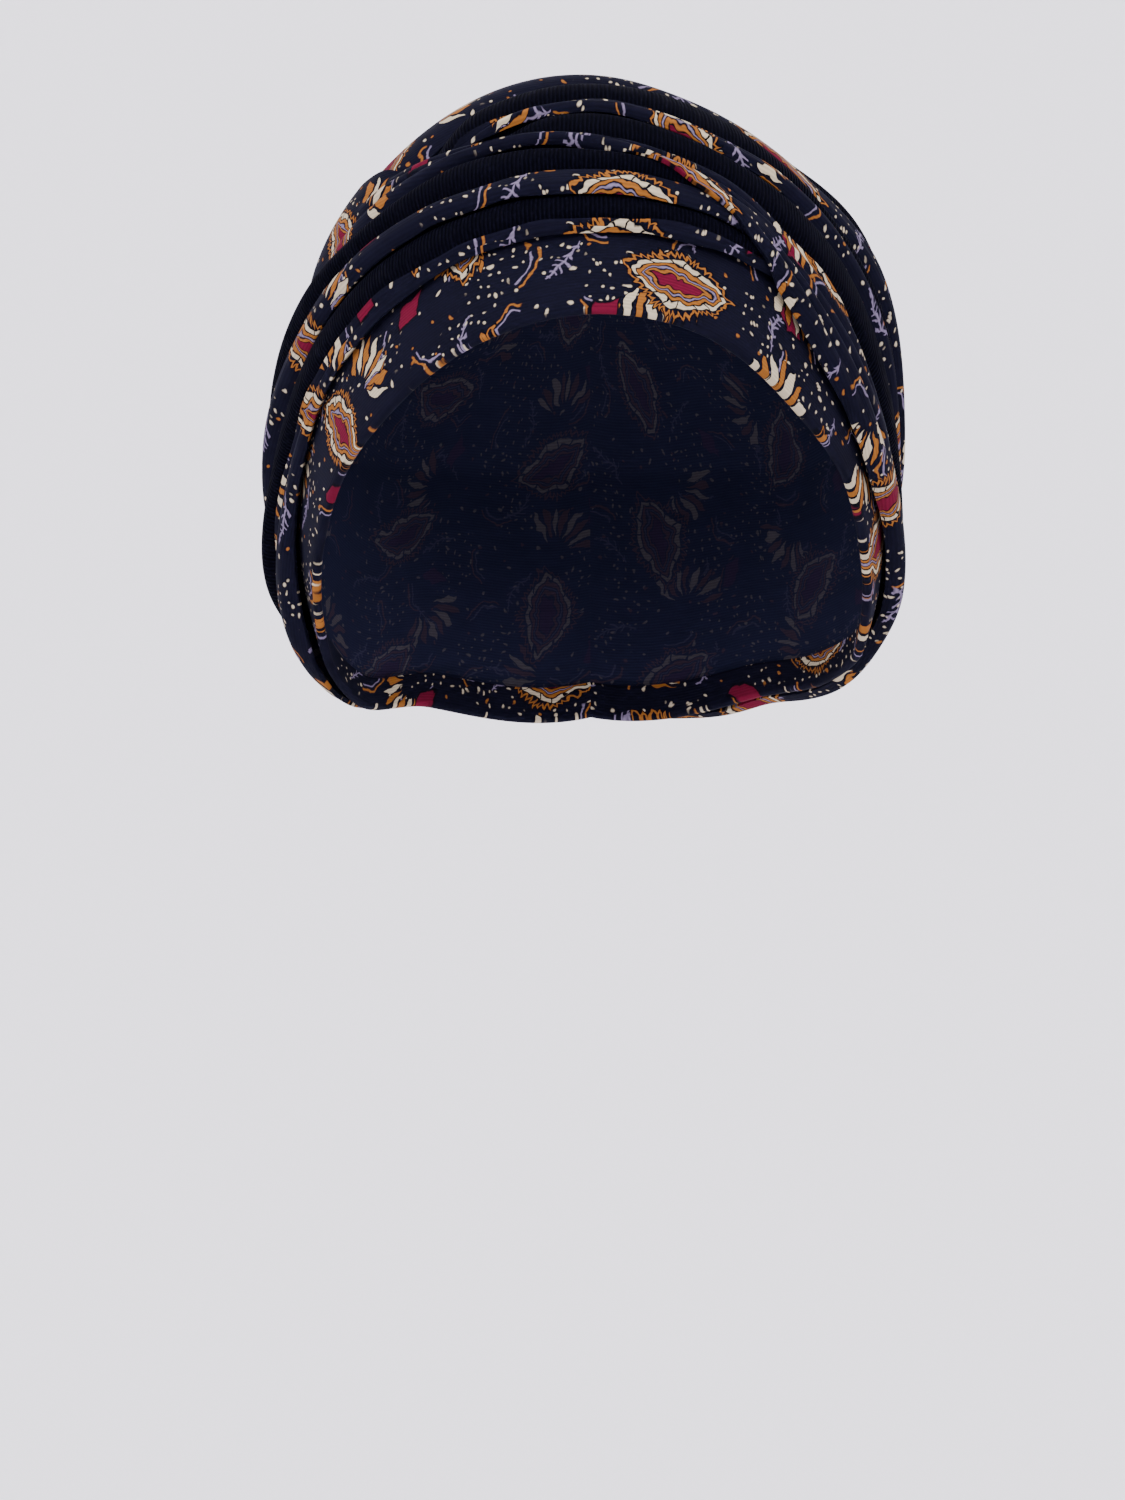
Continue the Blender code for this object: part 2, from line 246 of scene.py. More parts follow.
NAVY = "#0c0c1a"
NAVY_DEEP = "#070711"
INK = "#05050c"
IVORY = "#a2957f"
OCHRE = "#784a1f"
CRIMSON = "#520d22"
LILAC = "#645a70"
WRONG_SIDE = "#16182a"

# Motifs in half-drop repeat: name, repeat across and along in mm, start in mm, seed
PRINT_REPEATS = {
    "arcs": ((25.0, 21.0), (4.0, 9.0), 3.0),
    "sprig": ((31.0, 27.0), (21.0, 2.0), 7.0),
    "fan": ((47.0, 41.0), (11.0, 24.0), 11.0),
    "lozenge": ((57.0, 43.0), (30.0, 17.0), 5.0),
    "almond": ((58.0, 47.0), (15.0, 6.0), 2.0),
}

# How far the lines of the drawing stray, in mm, and how often they do in a mm
WOBBLE_REACH = 5.0
WOBBLE_SCALE = 0.16
TREMBLE_REACH = 0.9
TREMBLE_SCALE = 0.55

# How far an ink's edge blurs into the cloth, in mm
INK_BLUR = 0.12
DOT_BLUR = 0.15


def below(tree, value, limit, blur=INK_BLUR):
    """1 where value is under limit, with an edge as soft as printed ink's."""
    return add(tree, "MapRange", {
        "Value": value, "From Min": limit - blur, "From Max": limit + blur, "To Min": 1.0, "To Max": 0.0,
    })


def near(tree, value, middle, reach, blur=INK_BLUR):
    """1 where value is within reach of middle, with the same soft edge."""
    off = add(tree, "Math", {0: value, 1: middle}, operation="SUBTRACT")
    return below(tree, add(tree, "Math", {0: off}, operation="ABSOLUTE"), reach, blur)


def where_all(tree, *masks):
    shared = masks[0]
    for mask in masks[1:]:
        shared = add(tree, "Math", {0: shared, 1: mask}, operation="MULTIPLY")
    return shared


def painted(tree, under, mask, ink):
    """One ink over what is printed already. It is a hex colour, or a socket."""
    ink = linear(ink) if isinstance(ink, str) else ink
    return add(tree, "Mix", {0: mask, 6: under, 7: ink}, data_type="RGBA").outputs[2]


def drawn_by_hand(tree, flat):
    """Places on the cloth in mm, strayed as a hand-drawn line does."""
    wobble = add(tree, "TexNoise", {"Vector": flat, "Scale": WOBBLE_SCALE, "Detail": 1.0})
    centred = add(tree, "VectorMath", {0: wobble.outputs["Color"], 1: (0.5, 0.5, 0.5)}, operation="SUBTRACT")
    spread = add(tree, "VectorMath", {0: centred, "Scale": WOBBLE_REACH}, operation="SCALE")
    strayed = add(tree, "VectorMath", {0: flat, 1: spread}, operation="ADD")
    tremble = add(tree, "TexNoise", {"Vector": flat, "Scale": TREMBLE_SCALE, "Detail": 1.0})
    shaken = add(tree, "VectorMath", {0: tremble.outputs["Color"], "Scale": TREMBLE_REACH}, operation="SCALE")
    return add(tree, "VectorMath", {0: strayed, 1: shaken}, operation="ADD")


def half_drop(tree, cloth, kind):
    """x and y in mm from a motif's middle in its half-drop repeat, each turned at random."""
    (wide, tall), (x, y), seed = PRINT_REPEATS[kind]
    moved = add(tree, "VectorMath", {0: cloth, 1: (x, y, 0.0)}, operation="ADD")
    place = add(tree, "VectorMath", {0: moved, 1: (wide, tall, 1.0)}, operation="DIVIDE")
    parts = add(tree, "SeparateXYZ", {0: place})
    column = add(tree, "Math", {0: parts.outputs[0]}, operation="FLOOR")
    odd = add(tree, "Math", {0: column, 1: 2.0}, operation="FLOORED_MODULO")
    along = add(tree, "Math", {0: odd, 1: 0.5, 2: parts.outputs[1]}, operation="MULTIPLY_ADD")
    dropped = add(tree, "CombineXYZ", {0: parts.outputs[0], 1: along})
    corner = add(tree, "VectorMath", {0: dropped}, operation="FLOOR")
    cell = add(tree, "VectorMath", {0: corner, 1: (0.0, 0.0, seed)}, operation="ADD")
    chance = add(tree, "TexWhiteNoise", {"Vector": cell}, noise_dimensions="3D")
    turn = add(tree, "Math", {0: chance, 1: 2 * math.pi}, operation="MULTIPLY")
    share = add(tree, "VectorMath", {0: dropped}, operation="FRACTION")
    centred = add(tree, "VectorMath", {0: share, 1: (0.5, 0.5, 0.0)}, operation="SUBTRACT")
    here = add(tree, "VectorMath", {0: centred, 1: (wide, tall, 0.0)}, operation="MULTIPLY")
    spun = add(tree, "VectorRotate", {"Vector": here, "Angle": turn}, rotation_type="Z_AXIS")
    local = add(tree, "SeparateXYZ", {0: spun})
    return local.outputs[0], local.outputs[1]


def polar(tree, x, y):
    """Distance in mm and direction in radians of a place from its motif's middle."""
    place = add(tree, "CombineXYZ", {0: x, 1: y})
    away = add(tree, "VectorMath", {0: place}, operation="LENGTH").outputs["Value"]
    return away, add(tree, "Math", {0: x, 1: y}, operation="ARCTAN2")


DOT_SPACING = 3.4
DOT_RADIUS = 0.37
DOT_SCATTER = 0.55
BIG_DOT_SPACING = 7.5
BIG_DOT_RADIUS = 0.52
BIG_DOT_SCATTER = 0.9
DRIFT_SCALE = 0.045
DRIFT_SHARE = 0.48
OCHRE_SHARE = 0.35


def dots(tree, cloth, colour):
    """Drifts of small ivory dots, and bigger ones in ivory or ochre between them."""
    drift = add(tree, "TexNoise", {"Vector": cloth, "Scale": DRIFT_SCALE, "Detail": 0.0})
    bare = add(tree, "Math", {0: 1.0, 1: drift}, operation="SUBTRACT")
    small = add(tree, "TexVoronoi", {"Vector": cloth, "Scale": 1 / DOT_SPACING, "Randomness": DOT_SCATTER},
                voronoi_dimensions="2D")
    away = add(tree, "Math", {0: small, 1: DOT_SPACING}, operation="MULTIPLY")
    in_dot = below(tree, away, DOT_RADIUS, DOT_BLUR)
    colour = painted(tree, colour, where_all(tree, in_dot, below(tree, bare, DRIFT_SHARE, 0.02)), IVORY)
    big = add(tree, "TexVoronoi",
              {"Vector": cloth, "Scale": 1 / BIG_DOT_SPACING, "Randomness": BIG_DOT_SCATTER},
              voronoi_dimensions="2D")
    away = add(tree, "Math", {0: big, 1: BIG_DOT_SPACING}, operation="MULTIPLY")
    chance = add(tree, "SeparateColor", {0: big.outputs["Color"]})
    ink = painted(tree, linear(IVORY), below(tree, chance, OCHRE_SHARE, 0.01), OCHRE)
    return painted(tree, colour, below(tree, away, BIG_DOT_RADIUS, DOT_BLUR), ink)


ARC_HALF_TURN = 0.85
ARCS = ((6.2, 0.28, LILAC), (7.9, 0.30, OCHRE))


def arcs(tree, cloth, colour):
    """Twin arcs, lilac inside and ochre outside."""
    away, around = polar(tree, *half_drop(tree, cloth, "arcs"))
    in_turn = near(tree, around, 0.0, ARC_HALF_TURN, 0.03)
    for radius, half_width, ink in ARCS:
        colour = painted(tree, colour, where_all(tree, near(tree, away, radius, half_width), in_turn), ink)
    return colour


SPRIG_BEND = 0.035
STEM_HALF_WIDTH = 0.27
STEM_REACH = 7.2
LEAF_SPACING = 2.3
LEAF_SLANT = 0.8
LEAF_HALF_WIDTH = 0.30
LEAF_LENGTH = 1.9
LEAF_TAPER = 0.2
LEAVES_REACH = 6.6


def sprigs(tree, cloth, colour):
    """Lilac sprigs: a bent stem with short slanting leaves that shorten to both ends."""
    x, y = half_drop(tree, cloth, "sprig")
    squared = add(tree, "Math", {0: y, 1: y}, operation="MULTIPLY")
    bent = add(tree, "Math", {0: squared, 1: -SPRIG_BEND, 2: x}, operation="MULTIPLY_ADD")
    side = add(tree, "Math", {0: bent}, operation="ABSOLUTE")
    height = add(tree, "Math", {0: y}, operation="ABSOLUTE")
    stem = where_all(tree, near(tree, bent, 0.0, STEM_HALF_WIDTH), near(tree, y, 0.0, STEM_REACH))
    slanted = add(tree, "Math", {0: side, 1: -LEAF_SLANT, 2: y}, operation="MULTIPLY_ADD")
    leaf = add(tree, "Math", {0: slanted, 1: LEAF_SPACING}, operation="FLOORED_MODULO")
    tapered = add(tree, "Math", {0: height, 1: LEAF_TAPER, 2: side}, operation="MULTIPLY_ADD")
    leaves = where_all(tree, near(tree, leaf, LEAF_SPACING / 2, LEAF_HALF_WIDTH),
                       below(tree, tapered, LEAF_LENGTH), near(tree, y, 0.0, LEAVES_REACH))
    drawn = add(tree, "Math", {0: stem, 1: leaves}, operation="MAXIMUM")
    return painted(tree, colour, drawn, LILAC)


LOZENGE_HALF_WIDTH = 3.4
LOZENGE_HALF_HEIGHT = 5.6
LOZENGE_LAYERS = ((1.22, INK), (1.0, CRIMSON))


def lozenges(tree, cloth, colour):
    """Crimson lozenges with a dark rim."""
    x, y = half_drop(tree, cloth, "lozenge")
    side = add(tree, "Math", {0: x}, operation="ABSOLUTE")
    height = add(tree, "Math", {0: y}, operation="ABSOLUTE")
    wide = add(tree, "Math", {0: side, 1: LOZENGE_HALF_WIDTH}, operation="DIVIDE")
    lozenge = add(tree, "Math", {0: height, 1: 1 / LOZENGE_HALF_HEIGHT, 2: wide}, operation="MULTIPLY_ADD")
    for size, ink in LOZENGE_LAYERS:
        colour = painted(tree, colour, below(tree, lozenge, size, 0.04), ink)
    return colour


FAN_MIDDLE = 10.0
FAN_HALF_DEPTH = 5.0
FAN_HALF_TURN = 1.17
PETALS_PER_RADIAN = 3.4
PETAL_HALF_WIDTH = 0.36
PETAL_RIM = 0.09


def fans(tree, cloth, colour):
    """Fans of petals, ivory and ochre by turns, each with a dark rim."""
    away, around = polar(tree, *half_drop(tree, cloth, "fan"))
    petals = add(tree, "Math", {0: around, 1: PETALS_PER_RADIAN}, operation="MULTIPLY")
    share = add(tree, "Math", {0: petals, 1: 1.0}, operation="FLOORED_MODULO")
    centred = add(tree, "Math", {0: share, 1: 0.5}, operation="SUBTRACT")
    off_petal = add(tree, "Math", {0: centred}, operation="ABSOLUTE")
    inward = add(tree, "Math", {0: away, 1: FAN_MIDDLE}, operation="SUBTRACT")
    depth = add(tree, "Math", {0: inward, 1: FAN_HALF_DEPTH}, operation="DIVIDE")
    squared = add(tree, "Math", {0: depth, 1: depth}, operation="MULTIPLY")
    rounded = add(tree, "Math", {0: 1.0, 1: squared}, operation="SUBTRACT")
    bulge = add(tree, "Math", {0: rounded, 1: 0.0}, operation="MAXIMUM")
    outside = add(tree, "Math", {0: bulge, 1: -PETAL_HALF_WIDTH, 2: off_petal}, operation="MULTIPLY_ADD")
    in_fan = where_all(tree, near(tree, around, 0.0, FAN_HALF_TURN, 0.01),
                       near(tree, away, FAN_MIDDLE, FAN_HALF_DEPTH, 0.05))
    count = add(tree, "Math", {0: petals}, operation="FLOOR")
    odd = add(tree, "Math", {0: count, 1: 2.0}, operation="FLOORED_MODULO")
    ink = painted(tree, linear(IVORY), below(tree, odd, 0.5, 0.1), OCHRE)
    colour = painted(tree, colour, where_all(tree, below(tree, outside, PETAL_RIM, 0.02), in_fan), INK)
    return painted(tree, colour, where_all(tree, below(tree, outside, 0.0, 0.02), in_fan), ink)


ALMOND_HALF_WIDTH = 9.5
ALMOND_HALF_LENGTH = 16.0
ALMOND_BEND = 0.012
TEETH_PER_RADIAN = 5.8
TOOTH_DEPTH = 0.34
ALMOND_WAVES = 6.0
ALMOND_WAVE_DEPTH = 0.035
GAPS_PER_RADIAN = 1.75
GAP_HALF_WIDTH = 0.055
GAP_INSIDE = 0.60
IVORY_SIZE = 0.76
TOOTHED_LAYERS = ((1.06, INK), (0.98, OCHRE), (0.88, NAVY_DEEP))
WAVED_LAYERS = (
    (0.80, INK), (IVORY_SIZE, IVORY), (0.62, INK), (0.57, OCHRE), (0.47, INK), (0.43, LILAC),
    (0.38, INK), (0.34, OCHRE), (0.26, INK), (0.22, CRIMSON),
)


def almonds(tree, cloth, colour):
    """Layered almonds with a saw-toothed rim, the ivory layer cut into blocks."""
    x, y = half_drop(tree, cloth, "almond")
    around = polar(tree, x, y)[1]
    squared = add(tree, "Math", {0: y, 1: y}, operation="MULTIPLY")
    bent = add(tree, "Math", {0: squared, 1: -ALMOND_BEND, 2: x}, operation="MULTIPLY_ADD")
    side = add(tree, "Math", {0: bent}, operation="ABSOLUTE")
    wide = add(tree, "Math", {0: side, 1: ALMOND_HALF_WIDTH}, operation="DIVIDE")
    almond = add(tree, "Math", {0: squared, 1: ALMOND_HALF_LENGTH ** -2, 2: wide}, operation="MULTIPLY_ADD")
    steps = add(tree, "Math", {0: around, 1: TEETH_PER_RADIAN}, operation="MULTIPLY")
    teeth = add(tree, "Math", {0: steps, 1: 0.5}, operation="PINGPONG")
    centred = add(tree, "Math", {0: teeth, 1: 0.25}, operation="SUBTRACT")
    toothed = add(tree, "Math", {0: centred, 1: TOOTH_DEPTH, 2: almond}, operation="MULTIPLY_ADD")
    swings = add(tree, "Math", {0: around, 1: ALMOND_WAVES}, operation="MULTIPLY")
    wave = add(tree, "Math", {0: swings}, operation="SINE")
    waved = add(tree, "Math", {0: wave, 1: ALMOND_WAVE_DEPTH, 2: almond}, operation="MULTIPLY_ADD")
    for shape, layers in ((toothed, TOOTHED_LAYERS), (waved, WAVED_LAYERS)):
        for size, ink in layers:
            colour = painted(tree, colour, below(tree, shape, size, 0.012), ink)
    blocks = add(tree, "Math", {0: around, 1: GAPS_PER_RADIAN}, operation="MULTIPLY")
    off_gap = add(tree, "Math", {0: blocks, 1: 0.5}, operation="PINGPONG")
    outside = add(tree, "Math", {0: 1.0, 1: below(tree, waved, GAP_INSIDE, 0.01)}, operation="SUBTRACT")
    in_ivory = where_all(tree, below(tree, waved, IVORY_SIZE, 0.01), outside)
    gaps = where_all(tree, below(tree, off_gap, GAP_HALF_WIDTH, 0.01), in_ivory)
    return painted(tree, colour, gaps, INK)


WALE_SCALE = 0.35
GRAIN_SCALE = 1.1
KNIT_RELIEF = 0.0002


def printed_jersey(name, strike=1.0):
    """Viscose jersey, knitted, dyed and pigment printed.

    To the eye it is a matte navy ground with flat, soft-edged motifs in dull inks, no
    gloss, and the faint grain of the knit. strike is how much of the print shows: all of
    it on the right side, and on the wrong side what the ink strikes through.
    """
    material, tree, shader, flat = cloth_material(name, 0.85, 0.012, "#8d8fb8", 0.025)
    cloth = drawn_by_hand(tree, flat)

    # The dye takes a little unevenly
    patchy = add(tree, "TexNoise", {"Vector": flat, "Scale": 0.05, "Detail": 3.0})
    colour = painted(tree, linear(NAVY_DEEP), patchy, NAVY)
    for motif in (dots, arcs, sprigs, lozenges, fans, almonds):
        colour = motif(tree, cloth, colour)
    if strike < 1.0:
        colour = painted(tree, linear(WRONG_SIDE), strike, colour)

    # The knit's wales and courses. They are 0.45 mm apart in such jersey and drawn at
    # 0.9 mm, as finer ones don't show.
    wales = add(tree, "TexWave", {"Vector": flat, "Scale": WALE_SCALE, "Distortion": 0.6, "Detail": 1.0,
                                  "Detail Scale": 2.0}, wave_type="BANDS", bands_direction="Y")
    grain = add(tree, "TexNoise", {"Vector": flat, "Scale": GRAIN_SCALE, "Detail": 2.0})
    faint = add(tree, "Math", {0: grain, 1: 0.5}, operation="MULTIPLY")
    knit = add(tree, "Math", {0: wales.outputs["Fac"], 1: 0.6, 2: faint}, operation="MULTIPLY_ADD")
    # Painted shade and light of the knit, besides its bump: the colour is darkened between the wales and
    # lightened on them, with the grain adding the yarn's random tone
    shade = add(tree, "MapRange", {
        "Value": knit, "From Min": 0.2, "From Max": 0.9, "To Min": 0.82, "To Max": 1.1,
    })
    knit_shaded_colour = add(tree, "VectorMath", {0: colour, "Scale": shade}, operation="SCALE")
    tree.links.new(knit_shaded_colour.outputs[0], shader.inputs["Base Color"])
    raised = add(tree, "Bump", {"Height": knit, "Strength": 0.25, "Distance": KNIT_RELIEF})
    tree.links.new(raised.outputs[0], shader.inputs["Normal"])
    return material


PRINT_STRIKE = 0.07
jersey_print = printed_jersey("printed viscose jersey")
jersey_back = printed_jersey("printed viscose jersey, wrong side", strike=PRINT_STRIKE)

# The edge is turned in: the sheet starts inside at the hem's raw edge, runs to the
# opening, turns round it and goes back over the head to the crown
HEM = 0.009
HEM_ROWS = 8
TURN_ROWS = 4
TURN_RADIUS = 0.00008
TURN_SET_BACK = 0.7

cap_line = np.linspace(-180, 180, CAP_LENGTHS + 1)
cap_start = line(OPENING_LINE, cap_line)[:, None] + TURN_SET_BACK
turn = np.linspace(-1, 1, TURN_ROWS + 1)[None, :] * math.pi / 2
turn_angle = cap_start - np.degrees(TURN_RADIUS / CROWN_HEIGHT) * np.cos(turn)
turn_height = TURN_RADIUS * (np.sin(turn) - 1) + 0 * cap_start
hem_turn = np.degrees(HEM / head_radius(direction(cap_line[:, None], cap_start)))
hem_angle = cap_start + hem_turn * np.linspace(1, 0, HEM_ROWS + 1)[None, :-1]
hem_height = np.full_like(hem_angle, -2 * TURN_RADIUS)
cap_share = np.linspace(0, 1, CAP_WIDTHS + 1)[None, 1:]
crown_angle = cap_start + (180 - cap_start) * cap_share
cap_angle = np.concatenate((hem_angle, turn_angle, crown_angle), axis=1)
cap_height = np.concatenate((hem_height, turn_height, np.zeros_like(crown_angle)), axis=1)
cap_column = cap_line[:, None] + np.zeros_like(cap_angle)
cap = cloth_sheet("cap_cloth", CAP_LENGTHS, cap_angle.shape[1] - 1, cap_column, cap_angle, cap_height,
                  closed=True, gauge=0.2)
cloth_piece(cap, CAP_WALL, jersey_print, jersey_back, "cap")

# What has been laid so far, as its height over the head on a fine grid: half a degree
# each way. Every later fold rests on it.
GRID_PER_DEGREE = 2
GRID_COLUMNS = np.linspace(-180, 180, 360 * GRID_PER_DEGREE + 1)
GRID_ANGLES = np.linspace(55, 180, 125 * GRID_PER_DEGREE + 1)
relief = np.where(GRID_ANGLES[None, :] >= line(OPENING_LINE, GRID_COLUMNS)[:, None], CAP_WALL, 0.0)


def relief_at(column, angle):
    """The height laid so far, between the grid's points."""
    x = (turned_back(column) + 180) * GRID_PER_DEGREE
    y = (np.clip(angle, GRID_ANGLES[0], GRID_ANGLES[-1]) - GRID_ANGLES[0]) * GRID_PER_DEGREE
    i = np.floor(x).astype(int) % (len(GRID_COLUMNS) - 1)
    j = np.minimum(np.floor(y).astype(int), len(GRID_ANGLES) - 2)
    s, t = x - np.floor(x), y - j
    return (
        relief[i, j] * (1 - s) * (1 - t) + relief[i + 1, j] * s * (1 - t)
        + relief[i, j + 1] * (1 - s) * t + relief[i + 1, j + 1] * s * t
    )


def widened(height, by):
    """The highest value within so many cells."""
    result = height.copy()
    for _ in range(by):
        padded = np.pad(result, 1, mode="edge")
        sides = padded[:-2, 1:-1], padded[2:, 1:-1], padded[1:-1, :-2], padded[1:-1, 2:]
        result = np.maximum.reduce((result, *sides))
    return result


def relaxed(height, floor, rounds):
    """Cloth that pulls itself smooth but never sinks under the floor."""
    for _ in range(rounds):
        padded = np.pad(height, 1, mode="edge")
        sides = (padded[:-2, 1:-1] + padded[2:, 1:-1] + padded[1:-1, :-2] + padded[1:-1, 2:]) / 4
        height = np.maximum(floor, (height + sides) / 2)
    return height


def lay_down(column_line, low, high, height, wall):
    """Add a fold's top to what has been laid. Its rows run from low to high at column_line."""
    first, last = column_line[0], column_line[-1]
    columns = GRID_COLUMNS.copy()
    if last > 180:
        columns = np.where(columns < last - 360, columns + 360, columns)
    share = (columns - first) / (last - first)
    inside = (share >= 0) & (share <= 1)
    u = np.clip(share, 0, 1) * (len(column_line) - 1)
    i = np.minimum(u.astype(int), len(column_line) - 2)
    s = (u - i)[:, None]
    at_low = low[i] * (1 - s[:, 0]) + low[i + 1] * s[:, 0]
    at_high = high[i] * (1 - s[:, 0]) + high[i + 1] * s[:, 0]
    cells = height.shape[1] - 1
    v = (GRID_ANGLES[None, :] - at_low[:, None]) / (at_high - at_low)[:, None] * cells
    covered = inside[:, None] & (v >= -0.5) & (v <= cells + 0.5)
    v = np.clip(v, 0, cells)
    j = np.minimum(v.astype(int), cells - 1)
    t = v - j
    i = i[:, None] + np.zeros_like(j)
    top = (
        height[i, j] * (1 - s) * (1 - t) + height[i + 1, j] * s * (1 - t)
        + height[i, j + 1] * (1 - s) * t + height[i + 1, j + 1] * s * t
    )
    relief[covered] = np.maximum(relief, top + wall)[covered]


# Rear panel
# The loose cloth over the back of the crown, cut round from the same printed jersey. The
# folds hold it down all round, and it bags a little between them.

WOUND_DEPTH = 0.010
PRINT_WALL = 0.0013
PANEL_LINE = (110, 116, 124, 132, 140, 144, 142, 138, 136.5, 134.5, 127.5, 115, 98, 90.5, 94, 102, 110)
PANEL_RISE = 0.85
PANEL_SLOPE = 26.0
PANEL_LENGTHS = 240
PANEL_WIDTHS = 56
PANEL_BAGGING = 0.0006
PANEL_TAUT = 12.0

panel_column = np.linspace(-180, 180, PANEL_LENGTHS + 1)[:, None] + np.zeros(PANEL_WIDTHS + 1)
panel_share = np.linspace(0, 1, PANEL_WIDTHS + 1)[None, :] + np.zeros((PANEL_LENGTHS + 1, 1))
panel_start = line(PANEL_LINE, panel_column)
panel_angle = panel_start + (180 - panel_start) * panel_share
panel_climb = smooth_step((panel_angle - panel_start) / PANEL_SLOPE)
panel_height = CAP_WALL + CLOTH_GAP + (PANEL_RISE * WOUND_DEPTH - CAP_WALL - CLOTH_GAP) * panel_climb
panel_ray = direction(panel_column, panel_angle)
bagging = np.sin(panel_ray[..., 0] * 23 + 4 * panel_ray[..., 2]) * np.sin(panel_ray[..., 2] * 9 + 1.0)
panel_slack = panel_climb * smooth_step((180 - panel_angle) / PANEL_TAUT)
panel_height = panel_height + PANEL_BAGGING * bagging * panel_slack
panel_height = relaxed(panel_height, np.full_like(panel_height, CAP_WALL + CLOTH_GAP), 3)
panel_height[:, -1] = panel_height[:, -1].mean()
panel_height[0] = panel_height[-1] = (panel_height[0] + panel_height[-1]) / 2
panel = cloth_sheet("rear_panel_cloth", PANEL_LENGTHS, PANEL_WIDTHS, panel_column, panel_angle, panel_height,
                    closed=True, disc=True)
cloth_piece(panel, PRINT_WALL, jersey_print, jersey_back, "rear_panel")
lay_down(panel_column[:, 0], panel_start[:, 0], np.full(PANEL_LENGTHS + 1, 180.0), panel_height, PRINT_WALL)

# Rear roll
# A plain band behind the crest, a strip of ribbed viscose jersey folded double. It is
# wound flat onto the panel, with its ribs across the band, and tacked at the nape.

RIB_WALL = 0.0012
FLAT_TAIL = 16.0
EDGE_WAVER = 0.22
RISE_COLUMNS = (-180, -135, -110, -90, -65, -45, -20, 0, 20, 45, 65, 90, 110, 135, 180)
REAR_ROLL_LINE = (124, 122, 126, 134, 142, 145, 142.5, 139.5, 138, 136, 127, 113, 97, 91, 95, 103, 109)
CROWN_BACK_LINE = (130, 129, 133, 141, 149, 153, 150.5, 147.5, 146, 144, 136, 123, 106, 99, 103, 110, 116)
REAR_ROLL_RISE = (0.45, 0.70, 0.80, 0.90, 0.90, 0.85, 0.80, 0.75, 0.68, 0.85, 1.40, 0.80, 0.50, 0.55, 0.45)
# The ribbed jersey's own near-black colour, then the painted highlight laid along the tops of its ribs
RIB_DARK = "#010104"
RIB_PAINTED_HIGHLIGHT = "#070711"
RIB_SPACING = 1.15
RIB_RELIEF = 0.0004


def ribbed_jersey(name):
    """Rib jersey, knitted in fine ribs and dyed.

    To the eye it is nearly black, fully matte, and striped by the light on its ribs, which is painted into
    its colour as an uneven highlight along each rib. They are 0.8 mm apart, and drawn at 1.15 mm, as finer
    ones don't show.
    """
    material, tree, shader, flat = cloth_material(name, 0.88, 0.012, "#5a5f94", 0.012)
    wander = add(tree, "TexNoise", {"Vector": flat, "Scale": 0.08, "Detail": 2.0})
    parts = add(tree, "SeparateXYZ", {0: flat})
    drifted = add(tree, "Math", {0: parts, 1: wander}, operation="ADD")
    turns = add(tree, "Math", {0: drifted, 1: 2 * math.pi / RIB_SPACING}, operation="MULTIPLY")
    wave = add(tree, "Math", {0: turns}, operation="SINE")
    rib = add(tree, "MapRange", {"Value": wave, "From Min": -1.0, "From Max": 1.0})
    # Painted highlight: the tops of the ribs are lightened from the near-black cloth, more in some patches
    # than in others
    highlight_patchiness = add(tree, "TexNoise", {"Vector": flat, "Scale": 1.4, "Detail": 2.0})
    lit = add(tree, "MapRange", {"Value": highlight_patchiness, "From Min": 0.3, "From Max": 0.7, "To Min": 0.4})
    painted_rib_highlight = add(tree, "Math", {0: rib, 1: lit}, operation="MULTIPLY")
    tree.links.new(painted(tree, linear(RIB_DARK), painted_rib_highlight, RIB_PAINTED_HIGHLIGHT), shader.inputs["Base Color"])
    raised = add(tree, "Bump", {"Height": rib, "Strength": 0.6, "Distance": RIB_RELIEF})
    tree.links.new(raised.outputs[0], shader.inputs["Normal"])
    return material


jersey_rib = ribbed_jersey("ribbed viscose jersey")

ANY_PHASE = 6.28
EDGE_WAVES = (7, 13, 23)
LONG_CREASES = 7
DRAWN_CREASE_WIDTH = 0.07
GATHER_WAVES = range(3, 8)
GATHER_DEPTH = 0.0019
GATHER_REACH = 75.0
EASING_ROUNDS = 6


